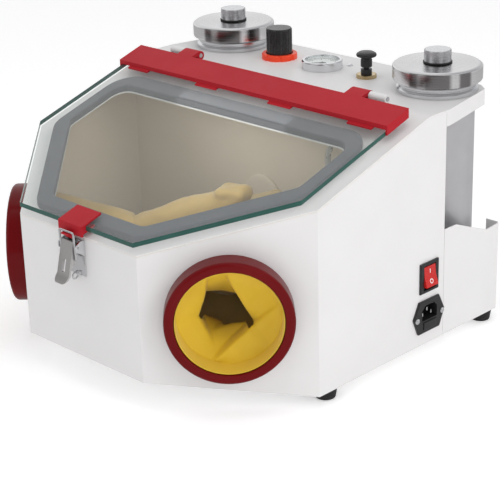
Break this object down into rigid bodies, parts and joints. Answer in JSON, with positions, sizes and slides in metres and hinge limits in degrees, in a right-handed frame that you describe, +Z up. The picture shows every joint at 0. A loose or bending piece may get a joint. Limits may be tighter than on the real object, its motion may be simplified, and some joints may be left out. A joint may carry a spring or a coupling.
{
  "type": "sandblast cabinet",
  "caption": "Benchtop sandblast cabinet with a hinged sloped window, two glove ports, two lidded abrasive tanks, regulator, gauge and push-pull valve.",
  "frame": {"origin": "on the bench, under the middle of the whole object", "axes": "+Z up, -Y towards the person using it, +X to that person's right"},
  "size_m": [0.4183, 0.4502, 0.3025],
  "materials": {
    "white_coat": "satin powder coat",
    "inner_coat": "matt powder coat",
    "red_coat": "semi-gloss powder coat",
    "ring_red": "gloss",
    "chrome": "polished",
    "steel": "brushed",
    "tank_metal": "satin",
    "cap_metal": "turned",
    "brass": "satin",
    "black_plastic": "moulded",
    "orange_plastic": "moulded",
    "red_plastic": "translucent",
    "white_plastic": "moulded",
    "foot_rubber": "matt",
    "seal_rubber": "matt",
    "glove_rubber": "soft matt",
    "foam": "closed-cell foam",
    "hose": "translucent tube",
    "lid_glass": "clear",
    "lens_glass": "clear",
    "dial_face": "printed",
    "needle": "matt",
    "galvanised": "galvanised"
  },
  "bodies": {
    "cabinet": {"air_fittings": "steel", "arm_ring_left": "ring_red", "arm_ring_right": "ring_red", "bay_walls": "white_coat", "blast_pens": "chrome", "chamber_wall": "inner_coat", "deck": "white_coat", "exhaust_duct": "black_plastic", "feet": "foot_rubber", "floor_pan": "white_coat", "front_shell": "white_coat", "gauge_case": "chrome", "gauge_dial": "dial_face", "gauge_lens": "lens_glass", "glove_left": "glove_rubber", "glove_right": "glove_rubber", "hinge_barrels": "white_coat", "hinge_pins": "steel", "inlet_pins": "chrome", "lamp_housing": "white_plastic", "lamp_lens": "lens_glass", "latch_base": "chrome", "mains_inlet": "black_plastic", "neck_seals": "seal_rubber", "panel_screws": "chrome", "pen_clips": "steel", "pen_hoses": "hose", "power_supply": "black_plastic", "rear_panel": "white_coat", "regulator_body": "black_plastic", "regulator_ring": "orange_plastic", "rocker_frame": "black_plastic", "sleeve_bands": "steel", "tank_bracket_left": "white_coat", "tank_bracket_right": "white_coat", "tank_feet": "tank_metal", "tank_necks": "chrome", "tank_tube_left": "tank_metal", "tank_tube_right": "tank_metal", "valve_body": "black_plastic", "valve_nut": "brass", "window_frame": "white_coat", "window_gasket": "foam"},
    "lid": {"lid_glass": "lid_glass", "lid_bar": "red_coat", "lid_clip": "red_coat"},
    "latch_lever": {"latch_lever": "chrome"},
    "latch_bail": {"latch_bail": "chrome"},
    "tank_cap_left": {"tank_cap_left": "cap_metal"},
    "tank_cap_right": {"tank_cap_right": "cap_metal"},
    "cap_knob_left": {"cap_knob_left": "chrome"},
    "cap_knob_right": {"cap_knob_right": "chrome"},
    "regulator_spindle": {"regulator_spindle": "steel"},
    "regulator_knob": {"regulator_knob": "black_plastic"},
    "gauge_needle": {"gauge_needle": "needle"},
    "valve_plunger": {"valve_plunger": "black_plastic"},
    "rocker": {"rocker": "red_plastic"},
    "fuse_drawer": {"fuse_drawer": "black_plastic"},
    "floor_tray": {"floor_tray": "galvanised"}
  },
  "joints": [
    {"name": "lid_hinge", "type": "hinge", "parent": "cabinet", "child": "lid", "pos_m": [0, 0.082, 0.269], "axis": [-1, 0, 0], "range_deg": [0, 95]},
    {"name": "latch_lever_swing", "type": "hinge", "parent": "cabinet", "child": "latch_lever", "pos_m": [0, -0.207, 0.158], "axis": [-1, 0, 0], "range_deg": [0, 110]},
    {"name": "latch_bail_swing", "type": "hinge", "parent": "latch_lever", "child": "latch_bail", "pos_m": [0, -0.20917, 0.14514], "axis": [-1, 0, 0], "range_deg": [-110, 0]},
    {"name": "cap_lift_left", "type": "slide", "parent": "cabinet", "child": "tank_cap_left", "axis": [0, 0, 1], "range_m": [0, 0.05]},
    {"name": "cap_lift_right", "type": "slide", "parent": "cabinet", "child": "tank_cap_right", "axis": [0, 0, 1], "range_m": [0, 0.05]},
    {"name": "cap_knob_turn_left", "type": "hinge", "parent": "tank_cap_left", "child": "cap_knob_left", "pos_m": [-0.1504, 0.1715, 0.2874], "axis": [0, 0, 1], "range_deg": [0, 720]},
    {"name": "cap_knob_turn_right", "type": "hinge", "parent": "tank_cap_right", "child": "cap_knob_right", "pos_m": [0.1504, 0.1715, 0.2874], "axis": [0, 0, 1], "range_deg": [0, 720]},
    {"name": "regulator_turn", "type": "hinge", "parent": "cabinet", "child": "regulator_spindle", "pos_m": [-0.065, 0.159, 0.2585], "axis": [0, 0, -1], "range_deg": [0, 1080]},
    {"name": "regulator_unlock", "type": "slide", "parent": "regulator_spindle", "child": "regulator_knob", "axis": [0, 0, 1], "range_m": [0, 0.003]},
    {"name": "gauge_needle_turn", "type": "hinge", "parent": "cabinet", "child": "gauge_needle", "pos_m": [0, 0.159, 0.264], "axis": [0, 0, -1], "range_deg": [0, 270]},
    {"name": "valve_pull", "type": "slide", "parent": "cabinet", "child": "valve_plunger", "axis": [0, 0, 1], "range_m": [0, 0.006]},
    {"name": "rocker_tilt", "type": "hinge", "parent": "cabinet", "child": "rocker", "pos_m": [0.203, 0.0915, 0.0874], "axis": [0, 1, 0], "range_deg": [0, 24]},
    {"name": "fuse_drawer_slide", "type": "slide", "parent": "cabinet", "child": "fuse_drawer", "axis": [1, 0, 0], "range_m": [0, 0.012]},
    {"name": "tray_lift", "type": "slide", "parent": "cabinet", "child": "floor_tray", "axis": [0, 0, 1], "range_m": [0, 0.012]}
  ],
  "couplings": [
    {"joint": "latch_bail_swing", "follows": "latch_lever_swing", "ratio": -1},
    {"joint": "gauge_needle_turn", "follows": "regulator_turn", "ratio": 0.25}
  ]
}
